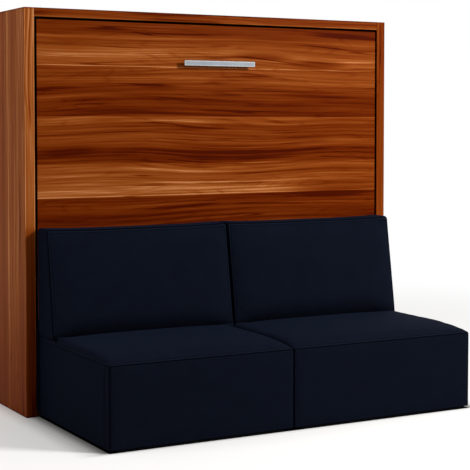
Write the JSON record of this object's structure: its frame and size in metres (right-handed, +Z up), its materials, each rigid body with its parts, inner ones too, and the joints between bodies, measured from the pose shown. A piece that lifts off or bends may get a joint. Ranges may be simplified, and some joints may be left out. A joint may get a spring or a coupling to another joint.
{
  "type": "wall bed with sofa",
  "caption": "Cabinet wall bed that tilts down sideways on end pivots over a two-seat upholstered sofa whose backs fold forward first.",
  "frame": {"origin": "on the floor, in the middle of the whole footprint of cabinet and sofa", "axes": "+X to the right as seen from the sofa's front, the sofa faces -Y, the wall is at +Y, +Z up"},
  "size_m": [2.222, 1.332, 2.1],
  "materials": {
    "walnut_veneer": "satin lacquered veneer with strong grain",
    "dark_board": "dark matt board",
    "navy_fabric": "smooth matt woven upholstery",
    "satin_metal": "satin brushed",
    "dark_steel": "powder coated",
    "bright_steel": "zinc plated",
    "beech": "clear matt",
    "plywood": "raw",
    "ticking": "quilted knit",
    "webbing": "woven strap",
    "black_plastic": "moulded"
  },
  "bodies": {
    "cabinet": {"left_side_panel": "walnut_veneer", "right_side_panel": "walnut_veneer", "top_panel": "walnut_veneer", "back_panel": "dark_board", "plinth": "dark_board", "lower_front_panel": "navy_fabric", "wall_rail_lower": "plywood", "wall_rail_upper": "plywood", "pivot_plate_left": "dark_steel", "pivot_plate_right": "dark_steel", "pivot_pin_left": "bright_steel", "pivot_pin_right": "bright_steel", "strut_anchor_left": "dark_steel", "strut_anchor_right": "dark_steel", "seat_base_left": "navy_fabric", "seat_base_right": "navy_fabric", "seat_deck_left": "plywood", "seat_deck_right": "plywood", "seat_pad_left": "navy_fabric", "seat_pad_right": "navy_fabric", "skid_left_front": "black_plastic", "skid_left_rear": "black_plastic", "skid_right_front": "black_plastic", "skid_right_rear": "black_plastic", "hinge_leaf_fixed_left": "bright_steel", "hinge_leaf_fixed_right": "bright_steel", "hinge_pin_left": "bright_steel", "hinge_pin_right": "bright_steel"},
    "bed": {"bed_door": "walnut_veneer", "handle": "satin_metal", "end_rail_left": "dark_steel", "end_rail_right": "dark_steel", "long_rail_lower": "dark_steel", "long_rail_upper": "dark_steel", "centre_beam": "dark_steel", "slat_01": "beech", "slat_02": "beech", "slat_03": "beech", "slat_04": "beech", "slat_05": "beech", "slat_06": "beech", "slat_07": "beech", "slat_08": "beech", "slat_09": "beech", "slat_10": "beech", "mattress": "ticking", "strap_left": "webbing", "strap_right": "webbing"},
    "back_left": {"back_board_left": "plywood", "back_cushion_left": "navy_fabric", "hinge_leaf_moving_left": "bright_steel"},
    "back_right": {"back_board_right": "plywood", "back_cushion_right": "navy_fabric", "hinge_leaf_moving_right": "bright_steel"},
    "strut_tube_left": {"strut_tube_left": "dark_steel"},
    "strut_rod_left": {"strut_rod_left": "bright_steel"},
    "strut_tube_right": {"strut_tube_right": "dark_steel"},
    "strut_rod_right": {"strut_rod_right": "bright_steel"}
  },
  "joints": [
    {"name": "bed_tilt", "type": "hinge", "parent": "cabinet", "child": "bed", "pos_m": [0, 0.2733, 0.7086], "axis": [1, 0, 0], "range_deg": [0, 90]},
    {"name": "back_left_fold", "type": "hinge", "parent": "cabinet", "child": "back_left", "pos_m": [-0.527, 0.017, 0.4283], "axis": [1, 0, 0], "range_deg": [0, 90]},
    {"name": "back_right_fold", "type": "hinge", "parent": "cabinet", "child": "back_right", "pos_m": [0.514, 0.017, 0.4283], "axis": [1, 0, 0], "range_deg": [0, 90]},
    {"name": "strut_left_swing", "type": "hinge", "parent": "cabinet", "child": "strut_tube_left", "pos_m": [-1.023, 0.5915, 1.0268], "axis": [1, 0, 0], "range_deg": [0, 4.77]},
    {"name": "strut_left_slide", "type": "slide", "parent": "strut_tube_left", "child": "strut_rod_left", "axis": [0, -0.8607, -0.5091], "range_m": [0, 0.17998]},
    {"name": "strut_right_swing", "type": "hinge", "parent": "cabinet", "child": "strut_tube_right", "pos_m": [1.023, 0.5915, 1.0268], "axis": [1, 0, 0], "range_deg": [0, 4.77]},
    {"name": "strut_right_slide", "type": "slide", "parent": "strut_tube_right", "child": "strut_rod_right", "axis": [0, -0.8607, -0.5091], "range_m": [0, 0.17998]}
  ],
  "couplings": [
    {"joint": "back_left_fold", "follows": "bed_tilt", "ratio": 1},
    {"joint": "back_right_fold", "follows": "bed_tilt", "ratio": 1},
    {"joint": "strut_left_swing", "follows": "bed_tilt", "ratio": 0.053007},
    {"joint": "strut_left_slide", "follows": "bed_tilt", "m_per_rad": 0.11458},
    {"joint": "strut_right_swing", "follows": "bed_tilt", "ratio": 0.053007},
    {"joint": "strut_right_slide", "follows": "bed_tilt", "m_per_rad": 0.11458}
  ]
}
